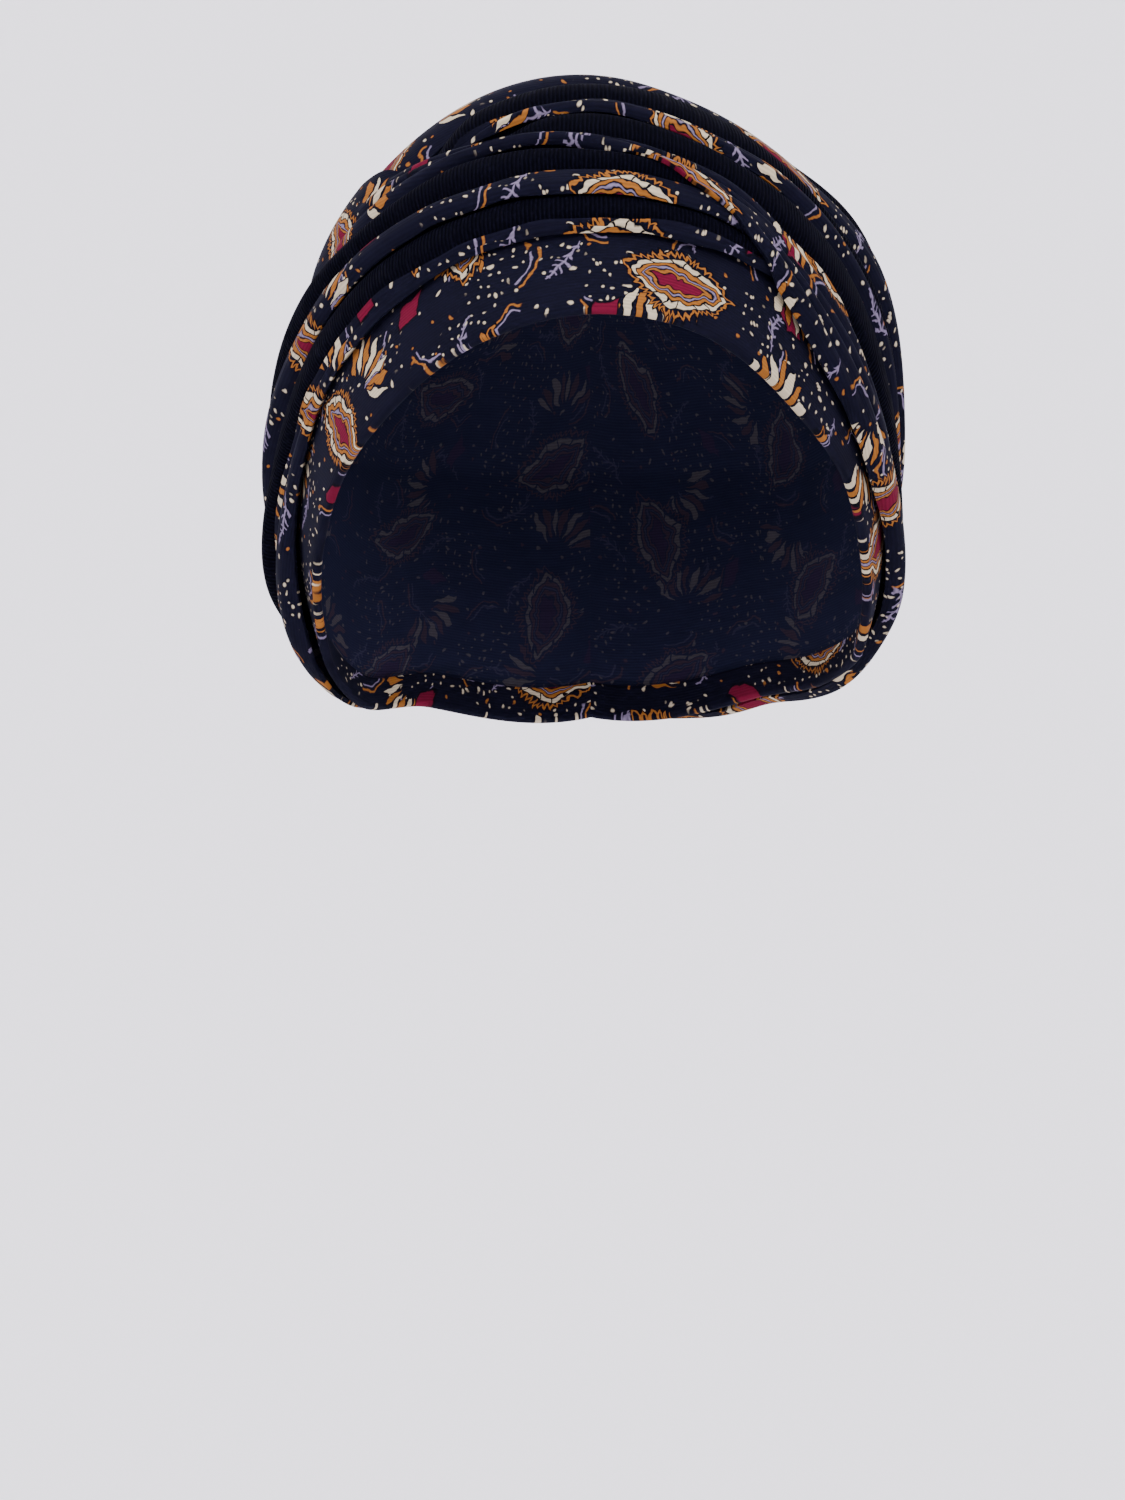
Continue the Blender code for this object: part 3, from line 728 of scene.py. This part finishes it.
def wound_fold(name, lower, upper, rise, first, last, cells, wall, tuck, pull, seed, drawn=()):
    """Wind one fold over what has been laid.

    lower and upper are its edge lines, rise its height at the middle in shares of
    WOUND_DEPTH. tuck is how far it reaches past them under its neighbours, in metres, and
    pull how deep the long creases are that the winding pulls into it. drawn adds creases
    of its own: (first column, share of the width there, last column, share, depth).
    """
    lengths = last - first
    column_line = np.linspace(first, last, lengths + 1)
    column = column_line[:, None] + np.zeros(cells + 1)
    below_by, above_by = (math.degrees(t / CROWN_HEIGHT) for t in tuck)
    random = np.random.default_rng(seed)
    low, high = line(lower, column_line), line(upper, column_line)
    for waves in EDGE_WAVES:
        turn = np.radians(waves * column_line)
        low = low + EDGE_WAVER / 2 * np.sin(turn + random.uniform(0, ANY_PHASE))
        high = high + EDGE_WAVER / 2 * np.sin(turn + random.uniform(0, ANY_PHASE))
    start, end = low - below_by, high + above_by
    share = np.linspace(0, 1, cells + 1)[None, :] + np.zeros((lengths + 1, 1))
    angle = start[:, None] + (end - start)[:, None] * share
    shown = np.clip((angle - low[:, None]) / (high - low)[:, None], 0, 1)
    floor = widened(relief_at(column, angle), 1) + CLOTH_GAP
    tail = smooth_step((column - first) / FLAT_TAIL) * smooth_step((last - column) / FLAT_TAIL)
    full = eased(RISE_COLUMNS, rise, turned_back(column)) * WOUND_DEPTH
    pillow = np.sqrt(np.maximum(0.0, 1 - np.abs(2 * shown - 1) ** 3))
    resting = floor.min(axis=1)[:, None]
    height = resting + np.maximum(full - resting, 0) * pillow * tail
    creases = np.zeros_like(height)
    for _ in range(LONG_CREASES):
        middle, slant = random.uniform(0.05, 0.95), random.uniform(-0.35, 0.35)
        where, reach = random.uniform(first, last), random.uniform(25, 70)
        width = random.uniform(0.05, 0.12)
        track = middle + slant * (column - where) / 60
        fade = np.exp(-((column - where) / reach) ** 2)
        creases -= random.uniform(0.4, 1.0) * fade * np.exp(-((shown - track) / width) ** 2)
    for from_column, from_share, to_column, to_share, depth in drawn:
        along = np.clip((column - from_column) / (to_column - from_column), 0, 1)
        track = from_share + (to_share - from_share) * smooth_step(along)
        fade = np.sin(math.pi * along) ** 0.7
        height = height - depth * fade * np.exp(-((shown - track) / DRAWN_CREASE_WIDTH) ** 2) * pillow
    gathers = np.zeros_like(height)
    for waves in GATHER_WAVES:
        gathers += np.sin(2 * math.pi * waves * shown * 0.9 + random.uniform(0, ANY_PHASE)) / waves
    off_nape = np.minimum(column + 180, 180 - column)
    at_nape = 1 - smooth_step(off_nape / GATHER_REACH)
    height = height + (pull * creases + GATHER_DEPTH * gathers * at_nape) * pillow
    height = relaxed(np.maximum(height, floor), floor, EASING_ROUNDS)
    piece = cloth_sheet(name, lengths, cells, column, angle, height)
    lay_down(column_line, start, end, height, wall)
    return piece


rear_roll = wound_fold("rear_roll_cloth", REAR_ROLL_LINE, CROWN_BACK_LINE, REAR_ROLL_RISE, -176, 176, 18,
                       RIB_WALL, (0.0045, 0.0), 0.0006, 21)
cloth_piece(rear_roll, RIB_WALL, jersey_rib, jersey_rib, "rear_roll")

# Lower roll
# The first plain band above the forehead panel, a strip of the ribbed jersey folded
# double and wound round the cap. Its ends lie under the twist band and the keeper.

LOWER_ROLL_LINE = (89, 83, 74, 74, 82, 84.8, 86.4, 87.4, 87.9, 88.6, 87.8, 80, 75, 72, 72, 80, 88)
MIDDLE_LINE = (95, 88, 80, 80, 88.5, 93.3, 94.5, 94, 93, 92.6, 89, 83, 79, 76, 76, 84, 92)
LOWER_ROLL_RISE = (0.45, 0.88, 1.28, 0.88, 0.65, 0.55, 0.50, 0.45, 0.42, 0.40, 0.40, 0.40, 0.40, 0.40, 0.40)

lower_roll = wound_fold("lower_roll_cloth", LOWER_ROLL_LINE, MIDDLE_LINE, LOWER_ROLL_RISE, -176, 48, 18,
                        RIB_WALL, (0.0012, 0.0045), 0.0006, 22)
cloth_piece(lower_roll, RIB_WALL, jersey_rib, jersey_rib, "lower_roll")

# Upper roll
# The second plain band, of the same folded ribbed jersey. It runs up to the neck of the
# twist band, is tucked in under it there and is tacked at the nape.

UPPER_ROLL_LINE = (101, 95, 92, 93, 97, 99.2, 99.2, 97.4, 97, 96.5, 92, 87, 83, 80, 80, 88, 96)
TWIST_LEFT_LINE = (107, 101, 99, 102, 105.5, 108, 105.3, 106, 103, 99.5, 95, 91, 87, 84, 84, 92, 100)
UPPER_ROLL_RISE = (0.45, 0.75, 1.00, 1.25, 1.10, 0.90, 0.78, 0.74, 0.66, 0.60, 0.55, 0.50, 0.50, 0.50, 0.50)

upper_roll = wound_fold("upper_roll_cloth", UPPER_ROLL_LINE, TWIST_LEFT_LINE, UPPER_ROLL_RISE, -176, 30, 18,
                        RIB_WALL, (0.0045, 0.0045), 0.0007, 23)
cloth_piece(upper_roll, RIB_WALL, jersey_rib, jersey_rib, "upper_roll")

# Crown roll
# The plain band at the top of the crown, of the same folded ribbed jersey. Its front end
# is tucked in under the crest and the twist band.

CROWN_ROLL_LINE = (112, 110, 110, 110, 110, 110, 110, 113.5, 116, 111.6, 109.8, 97, 85, 80, 83, 91, 98)
CREST_LINE = (114, 112, 112, 112, 112, 112, 113, 124, 127, 126, 116.5, 103.5, 89, 84, 88, 96, 103)
CROWN_ROLL_RISE = (0.45, 0.75, 0.82, 0.90, 0.90, 0.90, 0.92, 0.92, 0.86, 0.86, 0.95, 0.55, 0.40, 0.50, 0.45)

crown_roll = wound_fold("crown_roll_cloth", CROWN_ROLL_LINE, CREST_LINE, CROWN_ROLL_RISE, -36, 176, 18,
                        RIB_WALL, (0.0045, 0.0045), 0.0006, 24)
cloth_piece(crown_roll, RIB_WALL, jersey_rib, jersey_rib, "crown_roll")

# Side roll
# The plain band above the twist band, of the same folded ribbed jersey. It starts at the
# top centre under the twist's neck and runs down the right side to the nape.

SIDE_ROLL_LINE = (118, 114, 116, 123, 130, 132, 120.2, 108, 104.5, 101.0, 92.0, 82, 77, 73, 74.5, 82, 89)
CROWN_FOLD_LINE = (110, 110, 110, 110, 110, 110, 110, 112, 113.8, 108.6, 104.8, 92, 81, 76.5, 78.5, 86, 93)
SIDE_ROLL_RISE = (0.45, 0.70, 0.80, 0.90, 0.90, 0.90, 0.84, 0.80, 0.80, 0.80, 0.72, 0.58, 0.48, 0.55, 0.45)

side_roll = wound_fold("side_roll_cloth", SIDE_ROLL_LINE, CROWN_FOLD_LINE, SIDE_ROLL_RISE, -22, 176, 18,
                       RIB_WALL, (0.0018, 0.0045), 0.0006, 25)
cloth_piece(side_roll, RIB_WALL, jersey_rib, jersey_rib, "side_roll")

# Brow fold
# A narrow fold of the printed jersey along the top of the forehead panel, laid onto the
# cap and tacked down under the lower roll.

BROW_LINE = (84, 77, 64, 62.5, 76, 81.3, 83.2, 85.8, 86.6, 87.2, 86.6, 78, 72, 69, 69, 78, 84)
BROW_RISE = (0.40, 0.50, 0.85, 0.50, 0.34, 0.30, 0.29, 0.28, 0.29, 0.30, 0.32, 0.35, 0.40, 0.40, 0.40)

brow_fold = wound_fold("brow_fold_cloth", BROW_LINE, LOWER_ROLL_LINE, BROW_RISE, -176, 44, 14,
                       PRINT_WALL, (0.0, 0.0), 0.0003, 26)
cloth_piece(brow_fold, PRINT_WALL, jersey_print, jersey_back, "brow_fold")

# Middle fold
# The fold of printed jersey between the two plain rolls on the left. Its edges are turned
# in and it lies on both rolls, held by the pull of the winding.

MIDDLE_RISE = (0.50, 0.80, 1.05, 1.22, 0.90, 0.80, 0.72, 0.66, 0.60, 0.55, 0.50, 0.50, 0.50, 0.50, 0.50)

middle_fold = wound_fold("middle_fold_cloth", MIDDLE_LINE, UPPER_ROLL_LINE, MIDDLE_RISE, -176, 36, 16,
                         PRINT_WALL, (0.0, 0.0), 0.0008, 27)
cloth_piece(middle_fold, PRINT_WALL, jersey_print, jersey_back, "middle_fold")

# Crown fold
# The narrow fold of printed jersey between the side roll and the crown roll. It starts at
# the top centre under the twist band and is held by the pull of the winding.

CROWN_FOLD_RISE = (0.50, 0.75, 0.82, 0.90, 0.90, 0.90, 0.90, 0.90, 0.90, 0.92, 0.90, 0.50, 0.38, 0.50, 0.50)

crown_fold = wound_fold("crown_fold_cloth", CROWN_FOLD_LINE, CROWN_ROLL_LINE, CROWN_FOLD_RISE, -26, 176, 14,
                        PRINT_WALL, (0.0, 0.0), 0.0008, 28)
cloth_piece(crown_fold, PRINT_WALL, jersey_print, jersey_back, "crown_fold")

# Crest fold
# The broad fold of printed jersey at the top of the outline. It is wound over the crown's
# plain bands with its edges turned in, and tacked at the nape.

CREST_RISE = (0.50, 0.75, 0.85, 0.95, 0.99, 0.93, 0.98, 0.92, 0.72, 0.88, 1.30, 0.75, 0.45, 0.55, 0.50)

crest_fold = wound_fold("crest_fold_cloth", CREST_LINE, REAR_ROLL_LINE, CREST_RISE, -176, 176, 30,
                        PRINT_WALL, (0.0, 0.0), 0.0013, 29)
cloth_piece(crest_fold, PRINT_WALL, jersey_print, jersey_back, "crest_fold")

# Twist band
# The wide band of printed jersey over everything else. It is twisted once at the top
# centre, where it narrows to a neck, opens out again across the right side and is held
# by its own pull and at the nape.

TWIST_RIGHT_LINE = (107, 101, 99, 102, 105.5, 108, 105.3, 106, 103.1, 94.3, 77.2, 71.5, 71, 68.5, 69, 77, 83)
TWIST_CREASES = (
    (-75.0, 0.35, 4.0, 0.50, 0.0026), (-60.0, 0.72, 6.0, 0.55, 0.0020), (-4.0, 0.45, 62.0, 0.20, 0.0028),
    (-2.0, 0.50, 74.0, 0.44, 0.0026), (2.0, 0.55, 68.0, 0.70, 0.0026), (-6.0, 0.60, 48.0, 0.86, 0.0018),
)
TWIST_RISE = (0.50, 0.75, 0.85, 0.95, 0.78, 0.86, 0.90, 0.85, 0.80, 0.75, 0.66, 0.62, 0.72, 0.80, 0.50)

twist_band = wound_fold("twist_band_cloth", TWIST_RIGHT_LINE, SIDE_ROLL_LINE, TWIST_RISE, -176, 176, 34,
                        PRINT_WALL, (0.0, 0.0), 0.0008, 30, TWIST_CREASES)
cloth_piece(twist_band, PRINT_WALL, jersey_print, jersey_back, "twist_band")

# Nape band
# The plain keeper of printed jersey over the gathered ends of the bands at the nape,
# stitched down along its sides. The photo doesn't show it.

KEEPER_HALF_ANGLE = 11.0
KEEPER_TOP = 134.0
KEEPER_INSET = 3.0
KEEPER_LENGTHS = 36
KEEPER_WIDTHS = 72
KEEPER_PULL = 0.0004

keeper_line = np.linspace(180 - KEEPER_HALF_ANGLE, 180 + KEEPER_HALF_ANGLE, KEEPER_LENGTHS + 1)
keeper_column = keeper_line[:, None] + np.zeros(KEEPER_WIDTHS + 1)
keeper_start = line(OPENING_LINE, keeper_line) + KEEPER_INSET
keeper_share = np.linspace(0, 1, KEEPER_WIDTHS + 1)[None, :] + np.zeros((KEEPER_LENGTHS + 1, 1))
keeper_angle = keeper_start[:, None] + (KEEPER_TOP - keeper_start)[:, None] * keeper_share
keeper_floor = widened(relief_at(keeper_column, keeper_angle), 2) + CLOTH_GAP
keeper_height = relaxed(keeper_floor, keeper_floor, 40)
keeper_pulls = np.sin(keeper_angle * 0.55 + 0.3 * (keeper_column - 180)) * np.sin(keeper_angle * 0.21)
keeper_middle = np.cos(np.radians((keeper_column - 180) * 8)) ** 2
keeper_height = keeper_height + KEEPER_PULL * (1 + keeper_pulls) * keeper_middle
keeper = cloth_sheet("nape_band_cloth", KEEPER_LENGTHS, KEEPER_WIDTHS, keeper_column, keeper_angle,
                     keeper_height)
cloth_piece(keeper, PRINT_WALL, jersey_print, jersey_back, "nape_band")

# Studio
# A pale seamless floor that curves up all round, soft light from the front and above,
# and the camera straight in front, a little below the turban.

FLOOR_LEVEL = -1.1
COVE_RADIUS = 3.6
COVE_BEND = 1.2
COVE_TOP = 3.2
COVE_SIDES = 72
BEND_RINGS = 12
WALL_RINGS = 2
PALE = "#faf8fc"
AIR = "#f4f4f8"
AIR_STRENGTH = 2.5

cove_rings = 1 + BEND_RINGS + WALL_RINGS
wall_rise = COVE_TOP - FLOOR_LEVEL - COVE_BEND
backdrop = bmesh.new()
bmesh.ops.create_grid(backdrop, x_segments=COVE_SIDES, y_segments=cove_rings, size=0.5)
for vertex in backdrop.verts:
    around, out = 2 * math.pi * vertex.co.x, (vertex.co.y + 0.5) * cove_rings
    bend = math.radians(90 * min(max(out - 1, 0), BEND_RINGS) / BEND_RINGS)
    radius = (COVE_RADIUS - COVE_BEND) * min(out, 1) + COVE_BEND * math.sin(bend)
    rise = COVE_BEND * (1 - math.cos(bend)) + wall_rise * max(out - 1 - BEND_RINGS, 0) / WALL_RINGS
    vertex.co = (radius * math.sin(around), radius * math.cos(around), FLOOR_LEVEL + rise)
bmesh.ops.remove_doubles(backdrop, verts=backdrop.verts, dist=0.0001)
bmesh.ops.recalc_face_normals(backdrop, faces=backdrop.faces)
backdrop_mesh = bpy.data.meshes.new("backdrop")
backdrop.to_mesh(backdrop_mesh)
backdrop.free()
backdrop_mesh.shade_smooth()
sweep = bpy.data.objects.new("backdrop", backdrop_mesh)
bpy.context.scene.collection.objects.link(sweep)

# Background paper: uncoated, so it stays flat and even with no gleam from the lamps
paper = bpy.data.materials.new("seamless background paper")
paper.use_nodes = True
paper_shader = paper.node_tree.nodes["Principled BSDF"]
paper_shader.inputs["Base Color"].default_value = linear(PALE)
paper_shader.inputs["Roughness"].default_value = 0.95
paper_shader.inputs["Specular IOR Level"].default_value = 0.1
backdrop_mesh.materials.append(paper)

world = bpy.data.worlds.new("studio")
bpy.context.scene.world = world
world.use_nodes = True
world.node_tree.nodes["Background"].inputs["Color"].default_value = linear(AIR)
world.node_tree.nodes["Background"].inputs["Strength"].default_value = AIR_STRENGTH

# Each lamp: name, place and width in metres, power in watts
LAMPS = (
    ("key softbox", (-0.9, -1.7, 1.6), 1.5, 60.0),
    ("fill softbox", (1.6, -1.5, 0.7), 1.5, 17.0),
    ("top softbox", (0.0, 0.3, 1.9), 1.4, 15.0),
)
LAMP_TARGET = Vector((0, 0, -0.09))
for lamp_name, spot, size, power in LAMPS:
    lamp = bpy.data.lights.new(lamp_name, "AREA")
    lamp.size = size
    lamp.energy = power
    holder = bpy.data.objects.new(lamp_name, lamp)
    holder.location = spot
    holder.rotation_euler = (LAMP_TARGET - Vector(spot)).to_track_quat("-Z", "Y").to_euler()
    bpy.context.scene.collection.objects.link(holder)

# The camera's focal length in the photo's pixels, and its place, both fitted to the photo
PHOTO_HEIGHT = 1500
LENS_IN_PIXELS = 5325
SENSOR_HEIGHT = 36.0
EYE_PLACE = (-0.0083, -1.5, -0.1791)

camera = bpy.data.cameras.new("camera")
camera.sensor_fit = "VERTICAL"
camera.sensor_height = SENSOR_HEIGHT
camera.lens = LENS_IN_PIXELS * SENSOR_HEIGHT / PHOTO_HEIGHT
eye = bpy.data.objects.new("camera", camera)
eye.location = EYE_PLACE
eye.rotation_euler = (math.radians(90), 0.0, 0.0)
bpy.context.scene.collection.objects.link(eye)
bpy.context.scene.camera = eye
